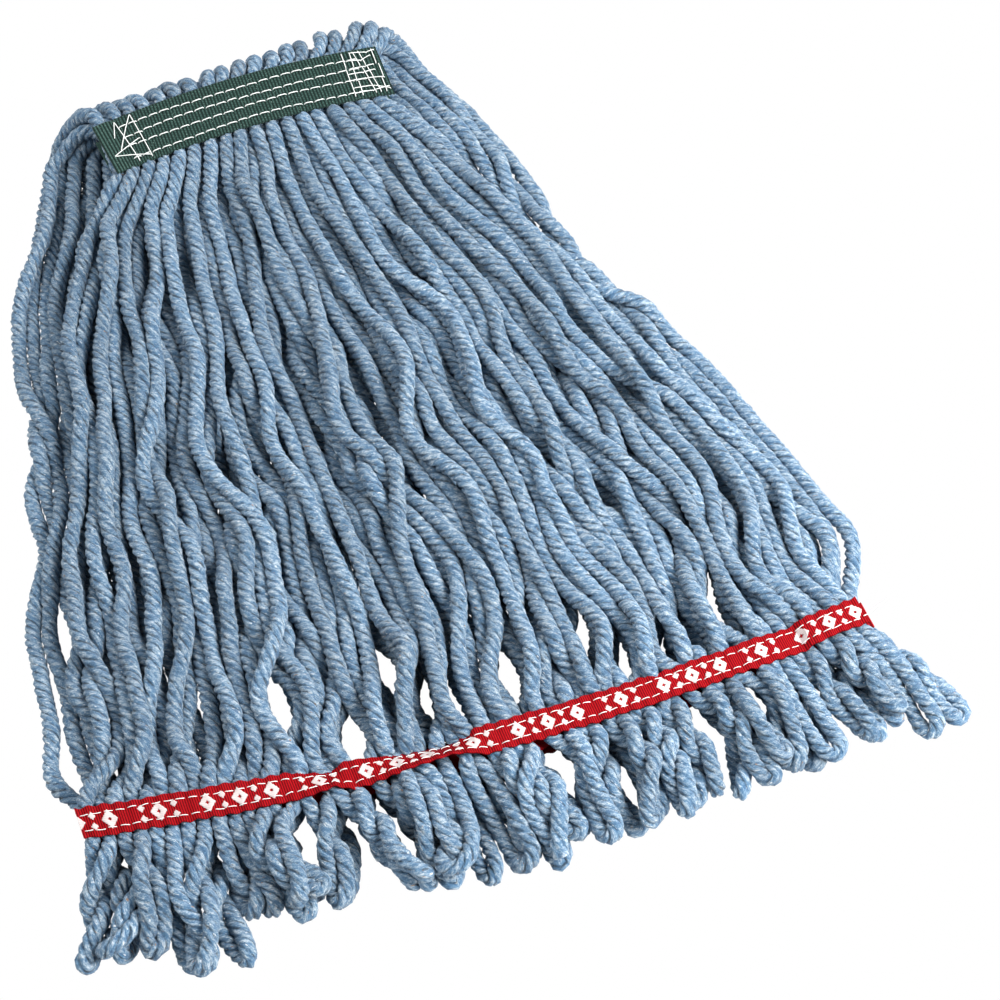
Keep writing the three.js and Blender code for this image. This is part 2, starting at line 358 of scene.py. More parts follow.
def front_chain(i):
    u = front_u[i]
    last = [under_tape(FRONT_TAIL, u, v, int(u * STRANDS)) for v in (4.0, 0.0)]
    inside = [strand_in_band(i, y) for y in (-9.0, -14.0)]
    guide = skirt(i, FRONT_LINES, u, front_z, strand_in_band(i, -16.0), last[0][2], 0.4)
    wander_across(guide, i)
    slide_to_tape(guide, last[0])
    points = joined([inside, guide[:-1], last])
    hold, thick = pinned_ends(len(points), BAND_SQUEEZE, TAIL_SQUEEZE)
    return points, hold, np.full(len(points), SKIRT_PULL), thick


fold_reach = rng.normal(1, 0.08, STRANDS)
fold_lean = rng.normal(0, 3.2, STRANDS)


def fold_points(i):
    """Points round the fold from the headband's far edge to the back half."""
    u = band_u[i]
    radius = 1 - (band_layer[i] + 0.5) / LAYERS * 0.72
    angles = np.radians(np.linspace(72, -90, 12))
    reach = FOLD["reach"] * radius * fold_reach[i] + 7.5 * smooth((u - 0.25) / 0.65)
    y = FOLD["y"] + reach * np.cos(angles) - 2.0
    tall = np.where(angles > 0, FOLD["top"], FOLD["bottom"])
    z = FOLD["z"] + tall * radius * np.sin(angles)
    turn = smooth((math.pi / 2 - angles) / math.pi)
    x = lerp(lerp(-73, -104, turn), lerp(85, 104, turn), u)
    x = x + fold_lean[i] * np.cos(angles)
    return np.stack([x, y + 2 * arch(u) * (1 - turn), z], -1)


def back_chain(i):
    u = back_u[i]
    last = [under_tape(BACK_TAIL, u, v, int(u * STRANDS)) for v in (4.0, 0.0)]
    inside = [strand_in_band(i, y) for y in (9.0, 14.0)]
    fold = fold_points(i)
    guide = skirt(i, BACK_LINES, u, back_z, fold[-1], last[0][2], 2.1)
    slide_to_tape(guide, last[0])
    points = joined([inside, fold[:-1], guide[:-1], last])
    hold, thick = pinned_ends(len(points), BAND_SQUEEZE, TAIL_SQUEEZE)
    pull = np.full(len(points), SKIRT_PULL)
    pull[2 : 2 + len(fold)] = FOLD_PULL
    return points, hold, pull, thick


FRINGE_AT = (0.0, 0.13, 0.17, 0.4, 0.8, 0.95, 1.0)  # shares across the fringe
FRINGE_LENGTH = (47.0, 55.0, 39.0, 43.0, 40.0, 40.0, 52.0)
FRINGE_HEADING = (-10.0, -6.0, -3.0, 6.0, 8.0, 11.0, 48.0)  # degrees from straight down


def loop_path(centre, u):
    """One finger of the fringe: its middle line, its heading at each point, and shares along it."""
    length = np.interp(u, FRINGE_AT, FRINGE_LENGTH) * (1 + 0.06 * math.sin(57 * u + 2))
    length = length * rng.uniform(0.93, 1.05)
    lean = np.interp(u, FRINGE_AT, FRINGE_HEADING) + 10 * math.sin(41 * u + 1) + rng.normal(0, 4)
    lean = np.clip(lean, -22, 38)
    curl = np.clip(rng.normal(0, 0.010), -0.016, 0.016)
    curl = lerp(curl, -0.4 * abs(curl), smooth((u - 0.85) / 0.1))
    s = np.linspace(0, length, 14)
    angle = math.radians(-90 + lean) + curl * s
    step = length / 13
    x = centre[0] + joined([[0], np.cumsum(np.cos(angle[:-1]) * step)])
    y = centre[1] + joined([[0], np.cumsum(np.sin(angle[:-1]) * step)])
    return np.stack([x, y, 0 * s + centre[2]], -1), angle, s / length


def loop_chain(tail, pair, droop):
    """A finger: out from under the tape, round its tip and back, its two legs wound together."""
    numbers = (2 * pair, 2 * pair + 1)
    roots = [[under_tape(tail, (n + 0.5) / STRANDS, v, n) for v in (0.0, -4.0)] for n in numbers]
    u = (2 * pair + 1) / STRANDS
    middle, angle, s = loop_path((roots[0][1] + roots[1][1]) / 2 - [0, 2.5, 0], u)
    middle[:, 2] += droop * smooth(s)
    wound = rng.uniform(0.45, 1.3) if rng.uniform() < 0.7 else rng.uniform(0.0, 0.25)
    turn = TURN * wound * smooth(s * 1.1)
    opening = 3.1 if wound > 0.3 else rng.uniform(3.4, 5.5)
    apart = lerp(3.6, opening, smooth(s * 3))
    side = np.stack([-np.sin(angle), np.cos(angle), 0 * s], -1)
    offset = side * np.cos(turn)[:, None] + np.array([0, 0, 1.0]) * np.sin(turn)[:, None]
    offset = apart[:, None] * offset
    ahead = np.array([math.cos(angle[-1]), math.sin(angle[-1]), 0])
    tip = [middle[-1] + 4.2 * ahead + 0.8 * k * offset[-1] for k in (1, 0, -1)]
    tip[1] = tip[1] + 2.0 * ahead
    right_leg = joined([roots[1], (middle + offset)[1:]])
    left_leg = joined([roots[0], (middle - offset)[1:]])
    points = joined([right_leg, tip, left_leg[::-1]])
    hold, thick = pinned_ends(len(points), TAIL_SQUEEZE, TAIL_SQUEEZE)
    return points, hold, np.full(len(points), LOOP_PULL), 0.95 * thick


def make_chains():
    chains = []

    def keep(made, group):
        points, *values = made
        even, (hold, pull, thick) = resample(points, POINT_STEP, values)
        chains.append(Chain(even, hold > 0.5, pull, thick, group))

    for i in range(STRANDS):
        keep(front_chain(i), ("front", front_u[i]))
    for i in range(STRANDS):
        keep(back_chain(i), ("back", back_u[i]))
    for pair in range(STRANDS // 2):
        u = (2 * pair + 1) / STRANDS
        keep(loop_chain(FRONT_TAIL, pair, rng.uniform(-9, -3)), ("front_loop", u))
        keep(loop_chain(BACK_TAIL, pair, rng.uniform(-2, 0)), ("back_loop", u))
    return chains


# ---------- relaxing the strands
def close_pairs(points, reach):
    """Index pairs of points nearer than reach, found with a sorted grid of cells."""
    cell = np.floor(points / reach).astype(np.int64)
    cell -= cell.min(0) - 1
    sizes = cell.max(0) + 2
    key = (cell[:, 0] * sizes[1] + cell[:, 1]) * sizes[2] + cell[:, 2]
    order = np.argsort(key, kind="stable")
    ranked = key[order]
    found = []
    for dx, dy, dz in itertools.product((-1, 0, 1), repeat=3):
        shift = (dx * sizes[1] + dy) * sizes[2] + dz
        if shift < 0:
            continue
        low = np.searchsorted(ranked, ranked + shift, "left")
        many = np.searchsorted(ranked, ranked + shift, "right") - low
        a = np.repeat(np.arange(len(points)), many)
        offset = np.arange(many.sum()) - np.repeat(np.cumsum(many) - many, many)
        b = np.repeat(low, many) + offset
        if shift == 0:
            a, b = a[b > a], b[b > a]
        found.append(order[[a, b]])
    a, b = joined(found, 1)
    near = np.einsum("ij,ij->i", points[a] - points[b], points[a] - points[b]) < reach * reach
    return a[near], b[near]


def spread_sum(index, values, count):
    return np.stack([np.bincount(index, values[:, k], count) for k in range(3)], -1)


def parting_sides(points, strand):
    """For each opening, the side on which each point's strand passes it: -1 or 1."""
    sides = []
    for x, y, _ in PARTINGS:
        beside = np.abs(points[:, 1] - y) < PARTING_REACH
        lean = np.bincount(strand[beside], points[beside, 0] - x, strand[-1] + 1)
        sides.append(np.where(lean < 0, -1.0, 1.0)[strand])
    return sides


def keep_openings(points, free, sides):
    """Moves points sideways out of the lens-shaped openings."""
    for (x, y, wide), side in zip(PARTINGS, sides):
        along = (points[:, 1] - y) / PARTING_REACH
        inside = np.flatnonzero(free & (np.abs(along) < 1) & (np.abs(points[:, 0] - x) < 14))
        want = wide * (1 - along[inside] ** 2) + YARN_RADIUS
        short = np.maximum(want - (points[inside, 0] - x) * side[inside], 0)
        points[inside, 0] += 0.4 * short * side[inside]


def push_apart(points, pair, reach, weight):
    """Contact: pairs of points nearer than reach move apart."""
    a, b = pair
    gap = points[a] - points[b]
    distance = np.maximum(np.linalg.norm(gap, axis=1), 1e-6)
    hit = distance < reach
    push = gap[hit] * ((reach[hit] - distance[hit]) / distance[hit])[:, None]
    share = weight[a[hit]] + weight[b[hit]]
    push = push * np.where(share > 0, 0.45 / np.maximum(share, 1e-9), 0)
    moved = spread_sum(a[hit], push, len(points)) - spread_sum(b[hit], push, len(points))
    points += weight * moved


def keep_lengths(points, link, rest, weight):
    """Links between neighbouring points return to their rest lengths."""
    for parity in (0, 1):
        i = link[parity::2]
        vector = points[i + 1] - points[i]
        long = np.maximum(np.linalg.norm(vector, axis=1), 1e-6)
        both = weight[i] + weight[i + 1]
        fix = vector * ((long - rest[parity::2]) / long)[:, None]
        fix = fix * np.where(both > 0, 0.8 / np.maximum(both, 1e-9), 0)
        points[i] += weight[i] * fix
        points[i + 1] -= weight[i + 1] * fix


def straighten(points, middle, own, weight, share):
    """Stiffness: every run of three points goes back towards its own natural bend."""
    bend = (points[middle - 1] + points[middle + 1]) / 2 - points[middle] - own
    moved = np.zeros_like(points)
    moved[middle] += share * bend
    moved[middle - 1] -= share / 2 * bend
    moved[middle + 1] -= share / 2 * bend
    points += weight * moved


def relax(chains, rounds):
    """Gravity, stiffness and contact, solved by moving the points of all strands directly."""
    points = joined([c.points for c in chains])
    home = points.copy()
    free = ~joined([c.hold for c in chains])
    pull = joined([c.pull for c in chains])[:, None] * np.array([[1, 1, 0.3]])
    radius = joined([c.thick for c in chains]) * YARN_RADIUS * CONTACT
    lengths = [len(c.points) for c in chains]
    strand = np.repeat(np.arange(len(chains)), lengths)
    link = np.flatnonzero(strand[1:] == strand[:-1])
    rest = np.linalg.norm(home[link + 1] - home[link], axis=1)
    middle = np.flatnonzero(strand[2:] == strand[:-2]) + 1
    own = 0.8 * ((home[middle - 1] + home[middle + 1]) / 2 - home[middle])
    weight = free.astype(float)[:, None]
    sides = parting_sides(home, strand)
    for step in range(rounds):
        if step % 4 == 0:
            a, b = close_pairs(points, 2.3 * YARN_RADIUS)
            apart = (strand[a] != strand[b]) | (np.abs(a - b) > 3)
            a, b = a[apart], b[apart]
            reach = radius[a] + radius[b]
        points[:, 2] -= SINK * free * (1.0 if step < rounds * 0.8 else 0.3)
        points += weight * pull * (home - points)
        straighten(points, middle, own, weight, 0.3)
        if step % 2 == 0:
            keep_openings(points, free, sides)
        for _ in range(2):
            push_apart(points, (a, b), reach, weight)
            keep_lengths(points, link, rest, weight)
        points[:, 2] = np.where(free, np.maximum(points[:, 2], YARN_RADIUS), points[:, 2])
    for chain, settled in zip(chains, np.split(points, np.cumsum(lengths)[:-1])):
        chain.points = settled


# ---------- closed tubes as mesh pieces
class Tube:
    """Rings of points that close on themselves, and what the materials read from them."""

    def __init__(self, rings, along, fibre, depth=1.0, motif=0.0, tone=0.5):
        shape = rings.shape[:2]
        self.rings = rings
        self.along = along
        self.fibre = fibre
        self.depth = np.broadcast_to(depth, shape)
        self.motif = np.broadcast_to(motif, shape)
        self.tone = np.broadcast_to(tone, shape)


def with_ends(values):
    """Values of a tube's points, followed by those of the two points that close its ends."""
    flat = values.reshape(-1, *values.shape[2:])
    return joined([flat, values[0].mean(0)[None], values[-1].mean(0)[None]])


def tube_faces(rings, around, start):
    ring = np.arange(rings - 1)[:, None] * around + start
    i = np.arange(around)
    j = (i + 1) % around
    quads = np.stack([ring + i, ring + j, ring + around + j, ring + around + i], -1)
    first = start + rings * around
    base = start + (rings - 1) * around
    near = np.stack([start + j, start + i, np.full(around, first)], -1)
    far = np.stack([base + i, base + j, np.full(around, first + 1)], -1)
    return quads.reshape(-1, 4), joined([near, far])


def tube_strip(tube, number, count, longest):
    """UV corners of a tube's quads: its own strip of the square, along it and around it."""
    around = tube.rings.shape[1]
    u = tube.along / longest * 0.98 + 0.01
    v = (number + 0.05 + 0.9 * np.arange(around + 1) / around) / count
    u0, v0 = np.meshgrid(u[:-1], v[:-1], indexing="ij")
    u1, v1 = np.meshgrid(u[1:], v[1:], indexing="ij")
    return np.stack([u0, v0, u0, v1, u1, v1, u1, v0], -1).reshape(-1, 2)


def new_object(name, data):
    made = bpy.data.objects.new(name, data)
    bpy.context.scene.collection.objects.link(made)
    return made


def fill(items, field, values, kind=np.float32):
    """Sets one field of all of a mesh's items at once."""
    items.foreach_set(field, values.astype(kind).ravel())


def tube_piece(name, node, tubes, material, slot):
    """A mesh object of closed tubes that stands for one CAD node."""
    longest = max(tube.along[-1] for tube in tubes)
    quads, caps, uv = [], [], []
    start = 0
    for number, tube in enumerate(tubes):
        sides, ends = tube_faces(*tube.rings.shape[:2], start)
        quads.append(sides)
        caps.append(ends)
        uv.append(tube_strip(tube, number, len(tubes), longest))
        start += tube.rings.shape[0] * tube.rings.shape[1] + 2
    quads, caps = joined(quads), joined(caps)
    points = in_frame(joined([with_ends(tube.rings) for tube in tubes]))
    mesh = bpy.data.meshes.new(name)
    loops = np.append(quads, caps)
    sizes = np.repeat([4, 3], [len(quads), len(caps)])
    mesh.vertices.add(len(points))
    fill(mesh.vertices, "co", points)
    mesh.loops.add(len(loops))
    fill(mesh.loops, "vertex_index", loops, np.int32)
    mesh.polygons.add(len(sizes))
    fill(mesh.polygons, "loop_start", np.cumsum(sizes) - sizes, np.int32)
    fill(mesh.polygons, "loop_total", sizes, np.int32)
    mesh.update(calc_edges=True)
    uv.append(np.full((len(caps) * 3, 2), 0.001))
    fill(mesh.uv_layers.new(name="OFBake").data, "uv", joined(uv))
    for key in ("depth", "motif", "tone", "fibre"):
        kind, field = ("FLOAT_VECTOR", "vector") if key == "fibre" else ("FLOAT", "value")
        values = joined([with_ends(getattr(tube, key)) for tube in tubes])
        fill(mesh.attributes.new(key, kind, "POINT").data, field, values)
    fill(mesh.polygons, "use_smooth", np.ones(len(sizes)), bool)
    mesh.materials.append(material)
    piece = new_object(name, mesh)
    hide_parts(node)
    return piece


# ---------- ropes and threads
def curve_through(points, step):
    """Catmull-Rom curve through the points at an even spacing, with its parameter."""
    padded = joined([[2 * points[0] - points[1]], points, [2 * points[-1] - points[-2]]])
    spans = len(points) - 1
    length = np.linalg.norm(np.diff(points, axis=0), axis=1).sum()
    count = max(int(round(length / step)), 3)
    at = np.linspace(0, spans - 1e-6, count + 1)
    k = at.astype(int)
    t = (at - k)[:, None]
    p0, p1, p2, p3 = (padded[k + j] for j in range(4))
    curve = 0.5 * (
        2 * p1
        + (p2 - p0) * t
        + (2 * p0 - 5 * p1 + 4 * p2 - p3) * t**2
        + (3 * p1 - p0 - 3 * p2 + p3) * t**3
    )
    return curve, at / spans


def steady_frame(curve):
    """Length along a curve, and two directions across it that don't spin about it."""
    tangent = np.gradient(curve, axis=0)
    tangent /= np.linalg.norm(tangent, axis=1)[:, None]
    normal = np.empty_like(curve)
    side = np.cross(tangent[0], [0, 0, 1.0])
    normal[0] = side / np.linalg.norm(side)
    for k in range(1, len(curve)):
        n = normal[k - 1] - tangent[k] * np.dot(normal[k - 1], tangent[k])
        normal[k] = n / np.linalg.norm(n)
    along = joined([[0], np.cumsum(np.linalg.norm(np.diff(curve, axis=0), axis=1))])
    return along, normal, np.cross(tangent, normal)


def ring_points(curve, normal, binormal, radius, angle):
    across = np.cos(angle)[..., None] * normal[:, None]
    across = across + np.sin(angle)[..., None] * binormal[:, None]
    return curve[:, None] + radius[..., None] * across


PLY_LOBE = np.array([0.78, 0.925, 0.995, 0.995, 0.925])  # one ply, from its groove over its crest


def uneven(local, count, spacing):
    """A smooth random series about 0."""
    values = local.standard_normal(count // spacing + 3)
    return np.interp(np.arange(count) / spacing, np.arange(len(values)), values)


def rope(chain, local):
    """One strand of plied yarn as a tube. local is its piece's random generator."""
    curve, t = curve_through(chain.points, RING_STEP)
    thick = np.interp(t, np.linspace(0, 1, len(chain.thick)), chain.thick)
    along, normal, binormal = steady_frame(curve)
    lobes = np.tile(PLY_LOBE, PLIES)
    around = np.arange(len(lobes)) * TURN / len(lobes)
    phase = local.uniform(0, TURN)
    tight = np.clip(1 + 0.12 * uneven(local, len(curve), 12), 0.7, 1.4)
    turn = phase + np.cumsum(np.diff(along, prepend=0) * TURN / (TWIST_PITCH * tight))
    deep = np.clip(1 + 0.4 * uneven(local, len(curve), 3), 0.3, 1.6)
    profile = 1 - (1 - lobes)[None, :] * deep[:, None]
    profile = profile * (1 + 0.045 * local.standard_normal(profile.shape))
    swell = 1 + 0.045 * uneven(local, len(curve), 4)
    radius = (YARN_RADIUS * thick * swell)[:, None] * profile
    rings = ring_points(curve, normal, binormal, radius, around[None, :] - turn[:, None])
    shift = local.uniform(0, 1000)
    fibre = [along[:, None] + shift + 0 * around, radius * np.cos(around), radius * np.sin(around)]
    # 0 in a ply's groove and 1 on its crest; the yarn material paints shade in the grooves and
    # light on the crests from it
    depth = np.tile((lobes - lobes.min()) / np.ptp(lobes), (len(curve), 1))
    return Tube(rings, along, np.stack(fibre, -1) * MM, depth, tone=local.uniform(0, 1))


def thread(points, radius=THREAD_RADIUS):
    """A smooth thin thread through the points as a tube."""
    curve, _ = curve_through(points, THREAD_STEP)
    along, normal, binormal = steady_frame(curve)
    angle = np.tile(np.arange(THREAD_SIDES) * TURN / THREAD_SIDES, (len(curve), 1))
    thin = np.full(angle.shape, radius)
    rings = ring_points(curve, normal, binormal, thin, angle)
    fibre = np.stack([0 * angle + along[:, None], np.cos(angle), np.sin(angle)], -1) * MM
    return Tube(rings, along, fibre, tone=rng.uniform(0, 1))


def yarn_piece(name, node, chains, material, seed):
    local = np.random.default_rng(seed)
    return tube_piece(name, node, [rope(chain, local) for chain in chains], material, "yarn")


# ---------- woven tapes
def woven_slab(surface, xs, half_width, top, bottom, across):
    """A closed woven strip. surface(x, v, h) places it, top(x, v) gives depth, motif and height."""
    x = xs[:, None]
    v_top = half_width(xs)[:, None] * np.linspace(1, -1, across)[None, :]
    v_low = half_width(xs)[:, None] * np.linspace(-1, 1, 7)[None, :]
    depth, motif, height = top(x, v_top)
    upper = surface(x + 0 * v_top, v_top, height)
    lower = surface(x + 0 * v_low, v_low, bottom + 0 * v_low)
    rings = joined([upper, lower], 1)
    low = np.zeros(v_low.shape)
    both = joined([v_top, v_low], 1)
    fibre = np.stack([x + 0 * both, both, 0 * both], -1) * MM
    # the weave's height, from which the tape materials paint shade in the weave's hollows; the
    # underside gets a plain 0.6
    depth = joined([depth, low + 0.6], 1)
    motif = joined([motif, low], 1)
    return Tube(rings, xs - xs[0], fibre, depth, motif)


def green_weave(x, v):
    """Ribs across the webbing, each broken into knots, and the ridges of its folded end."""
    rib = 0.5 + 0.5 * np.cos(TURN * x / GREEN_RIB)
    odd = np.round(x / GREEN_RIB) % 2
    knot = 0.5 + 0.5 * np.cos(TURN * (v / 1.5 + 0.5 * odd))
    hem = 1 - smooth((x + BAND_END - 8.2) / 0.7)
    weave = lerp(rib * (0.45 + 0.55 * knot), rib * (0.8 + 0.2 * knot), hem)
    height = 0.5 * (weave - 1) + 0.7 * hem
    return weave, 0 * weave, height


def green_edge(x):
    """Half width of the webbing, with a small loop of weft at each rib."""
    return BAND_EDGE + 0.5 * np.abs(np.sin(math.pi * x / GREEN_RIB))


def band_face(face, out):
    """Place function of a headband tape. out is 1 if it looks up and -1 if it looks down."""

    def surface(x, v, h):
        low = 0.5 - out * v / BAND["width"]
        slant = 4.0 * low * (1 - smooth((x + BAND_END) / 34))
        return band_point(x + slant, out * v, face + out * h)

    return surface


def ripple(x, v):
    """Height of the small waves in a tail tape, which are strongest at its edges."""
    wave = 0.45 * np.cos(TURN * x / PUCKER_PITCH + np.sin(x / 13))
    return wave * lerp(0.4, 1, smooth(np.abs(v) / 5))


def tail_face(tail, face, out, rucked=False):
    """Place function of a tail tape. out is 1 if it looks up and -1 if it looks down."""

    def surface(x, v, h):
        _, y = tail_point(tail, (x - tail["left"]) / (tail["right"] - tail["left"]))
        roll = front_roll(x) * rucked
        lift = front_lift(x) * rucked + ripple(x, v)
        across = out * (v * np.cos(roll) + h * np.sin(roll))
        rise = out * (h * np.cos(roll) - v * np.sin(roll))
        return np.stack([x + 0 * across, y + across, face + lift + rise], -1)

    return surface


MOTIFS = ("gem", "dots", "gem", "dots", "gem", "blank", "dots", "gem", "dots", "blank")
MOTIF_PITCH = 6.6


def motif_shape(kind, x, v):
    """True inside one woven ornament, whose centre is at x = 0 and v = 0."""
    diamond = np.abs(x) * 1.2 + np.abs(v)
    if kind == "gem":
        return (diamond < 4.1) & (diamond > 0.9)
    if kind == "dots":
        return np.abs(x) * 1.1 + np.abs(np.abs(v) - 2.3) < 1.7
    return np.zeros(np.broadcast(x, v).shape, bool)


def motif_at(x, v):
    """Where the tape's white ornament shows at x along the tape and v across it."""
    cell = np.round(x / MOTIF_PITCH).astype(int)
    local = x - cell * MOTIF_PITCH
    shown = np.zeros(np.broadcast(x, v).shape, bool)
    for k, kind in enumerate(MOTIFS):
        shown |= (cell % len(MOTIFS) == k) & motif_shape(kind, local, v)
    return shown.astype(float)


def red_weave(x, v):
    rib = 0.5 + 0.5 * np.cos(TURN * x / RED_RIB)
    motif = motif_at(x, v)
    satin = 0.75 + 0.25 * np.cos(TURN * v / 0.9)
    weave = lerp(rib, satin, motif)
    return weave, motif, 0.22 * (rib - 1) * (1 - motif) + 0.3 * motif


def plain_red_weave(x, v):
    rib = 0.5 + 0.5 * np.cos(TURN * x / (2 * RED_RIB))
    return rib + 0 * v, 0 * (rib + v), 0.2 * (rib - 1) + 0 * v


def red_edge(x):
    """Half width of a tail tape, which the stitching draws in a little."""
    return TAPE_WIDTH / 2 + 0.3 * np.sin(TURN * x / PUCKER_PITCH) + 0.2 * np.sin(x / 4.1)


def stations(low, high, step):
    return np.linspace(low, high, int(round((high - low) / step)) + 1)


# ---------- stitching
def stitch(surface, start, end, v, rise, radius):
    """One visible stitch: it comes up, lies on the weave and goes down again."""
    v0, v1 = v + rng.normal(0, 0.12, 2)
    x = lerp(start, end, np.array([0, 0.14, 0.5, 0.86, 1]))
    across = lerp(v0, v1, (x - start) / (end - start))
    height = np.array([-0.7, rise * 0.75, rise, rise * 0.75, -0.7])
    return thread(surface(x, across, height), radius)


def wavering(v, size, period, phase=0.0):
    """The nearly straight line of a row of stitches at v, as a function of x."""
    return lambda x: v + size * math.sin(x / period + phase)


def stitch_line(surface, low, high, line, length, gap, rise, radius):
    """Stitches one after another along a line."""
    tubes = []
    x = low
    while x + length < high:
        dash = length * rng.uniform(0.9, 1.06)
        tubes.append(stitch(surface, x, x + dash, line(x), rise, radius))
        x += dash + gap * rng.uniform(0.8, 1.2)
    return tubes


def laid_thread(surface, corners):
    """A thread stretched over the weave between the corners, each an x and a v."""
    tubes = []
    for (x0, v0), (x1, v1) in zip(corners[:-1], corners[1:]):
        t = np.array([0, 0.05, 0.35, 0.65, 0.95, 1])
        height = np.array([-0.3, 0.6, 0.75, 0.75, 0.6, -0.3])
        tubes.append(thread(surface(lerp(x0, x1, t), lerp(v0, v1, t), height)))
    return tubes


# the left bar tack: runs of thread, each corner the distance from the end and from the upper edge
LEFT_TACK = [
    [(7.5, 10.5), (11.0, 1.8), (14.5, 27.5)],
    [(7.4, 18.6), (19.8, 0.8), (22.5, 27.6)],
    [(2.8, 20.2), (22.0, 26.6)],
    [(2.8, 20.2), (20.0, 15.4)],
]


def left_tack(surface):
    tubes = []
    for run in LEFT_TACK:
        tubes += laid_thread(surface, [(x - BAND_END, BAND_EDGE - v) for x, v in run])
    return tubes


def right_tack(surface):
    """Uneven rows of stitches both ways, sewn over one another."""
    end, edge = BAND_END, BAND_EDGE
    tubes = []
    for k in range(5):
        x = end - 2.6 - 4.3 * k + rng.normal(0, 0.6)
        lean = rng.uniform(-2.2, 1.0)
        for low, high in ((-edge + 1.6, -4.5), (-4.0, 4.0), (4.6, edge - 1.2)):
            shift = rng.normal(0, 0.4)
            corners = [(x + shift + lean * low / edge, low), (x + shift + lean * high / edge, high)]
            tubes += laid_thread(surface, corners)
    for k in range(7):
        v = lerp(-edge + 1.8, edge - 2.0, k / 6) + rng.normal(0, 0.8)
        start = end - rng.uniform(14, 25)
        middle = (lerp(start, end, rng.uniform(0.4, 0.6)), v + rng.normal(0, 0.9))
        last = (end - rng.uniform(1.0, 5), v + rng.normal(0, 1.2))
        tubes += laid_thread(surface, [(start, v), middle, last])
    return tubes


# ---------- materials
class Nodes:
    """The node tree of a material or a world, with short ways to add to it."""

    def __init__(self, owner, surface="Principled BSDF"):
        owner.use_nodes = True
        self.owner = owner
        self.tree = owner.node_tree
        self.surface = self.tree.nodes[surface]

    def fill(self, node, inputs):
        """Sets inputs of a node, each to a plain value or to another node's output."""
        for name, value in inputs.items():
            if isinstance(value, bpy.types.NodeSocket):
                self.tree.links.new(value, node.inputs[name])
            else:
                node.inputs[name].default_value = value

    def add(self, kind, inputs, **settings):
        node = self.tree.nodes.new("ShaderNode" + kind)
        for name, value in settings.items():
            setattr(node, name, value)
        self.fill(node, inputs)
        return node

    def attribute(self, name, output="Fac"):
        return self.add("Attribute", {}, attribute_name=name).outputs[output]

    def stretched(self, along, across):
        """The fibre coordinates, scaled along the strand and across it."""
        inputs = {0: self.attribute("fibre", "Vector"), 1: (along, across, across)}
        return self.add("VectorMath", inputs, operation="MULTIPLY").outputs["Vector"]

    def noise(self, vector, scale, detail, roughness=0.5):
        inputs = {"Vector": vector, "Scale": scale, "Detail": detail, "Roughness": roughness}
        return self.add("TexNoise", inputs).outputs["Fac"]

    def ranged(self, value, low, high, to_low=0.0, to_high=1.0):
        """The value, carried over from one range to another."""
        inputs = {"From Min": low, "From Max": high, "To Min": to_low, "To Max": to_high}
        return self.add("MapRange", {"Value": value, **inputs}).outputs["Result"]

    def times(self, a, b):
        return self.add("Math", {0: a, 1: b}, operation="MULTIPLY").outputs["Value"]

    def plus(self, a, b):
        return self.add("Math", {0: a, 1: b}, operation="ADD").outputs["Value"]

    def ramp(self, value, stops):
        node = self.add("ValToRGB", {"Fac": value})
        elements = node.color_ramp.elements
        while len(elements) < len(stops):
            elements.new(0.5)
        for element, (position, color) in zip(elements, stops):
            element.position = position
            element.color = (*color, 1)
        return node.outputs["Color"]

    def mixed(self, factor, a, b):
        """Colour a where factor is 0 and the plain colour b where it is 1."""
        # a Mix node's colours are its inputs 6 and 7, and their mix is its output 2
        return self.add("Mix", {0: factor, 6: a, 7: (*b, 1)}, data_type="RGBA").outputs[2]

    def scaled(self, color, value):
        inputs = {0: color, "Scale": value}
        return self.add("VectorMath", inputs, operation="SCALE").outputs["Vector"]

    def bump(self, height, strength, distance):
        node = self.add("Bump", {"Strength": strength, "Distance": distance, "Height": height})
        self.fill(self.surface, {"Normal": node.outputs["Normal"]})

    def finish(self, color, roughness, sheen, tint):
        """The cloth surface that all these materials have."""
        inputs = {
            "Base Color": color,
            "Roughness": roughness,
            "Specular IOR Level": 0.08,
            "Sheen Weight": sheen,
            "Sheen Roughness": 0.5,
            "Sheen Tint": (*tint, 1),
        }
        self.fill(self.surface, inputs)
        return self.owner


def yarn_material():
    """Heathered blue cotton: tufts of pale fibre and pale and tan flecks, with painted shade in
    broken lines along the ply grooves and painted light on the ply crests.
    """
    m = Nodes(bpy.data.materials.new("blue_cotton_yarn"))
    fibres = m.noise(m.stretched(1.0, 1.0), 2200, 3, 0.7)
    tufts = m.noise(m.stretched(1.1, 1.0), 460, 4, 0.62)
    # painted light and shade: the heather is shifted lighter on the ply crests and darker towards
    # the grooves
    crest = m.ranged(m.attribute("depth"), 0, 1, -0.05, 0.03)
    heather = m.plus(m.plus(tufts, crest), m.ranged(fibres, 0.3, 0.7, -0.17, 0.17))
    color = m.ramp(
        m.ranged(heather, 0.23, 0.77),
        [(0.0, (0.030, 0.085, 0.180)), (0.5, (0.102, 0.210, 0.336)), (1.0, (0.55, 0.63, 0.68))],
    )
    pale = m.ranged(m.noise(m.stretched(0.8, 1.0), 900, 1), 0.68, 0.76)
    color = m.mixed(pale, color, (0.66, 0.70, 0.72))
    tan = m.ranged(m.noise(m.stretched(0.9, 1.0), 620, 1), 0.75, 0.79)
    color = m.mixed(tan, color, (0.34, 0.21, 0.12))
    # painted shade: the colour is darkened in broken lines along the ply grooves, down to 0.31 of
    # itself at the deepest
    broken = m.ranged(m.noise(m.stretched(0.9, 1.0), 420, 2), 0.35, 0.65, -0.25, 0.75)
    groove = m.ranged(m.plus(m.attribute("depth"), broken), 0.0, 0.7, 0.31, 1.0)
    tone = m.ranged(m.attribute("tone"), 0, 1, 0.84, 1.16)
    color = m.scaled(color, m.times(groove, tone))
    m.bump(m.plus(tufts, fibres), 1.0, 0.0010)
    return m.finish(color, 0.95, 0.20, (1.0, 0.99, 0.96))


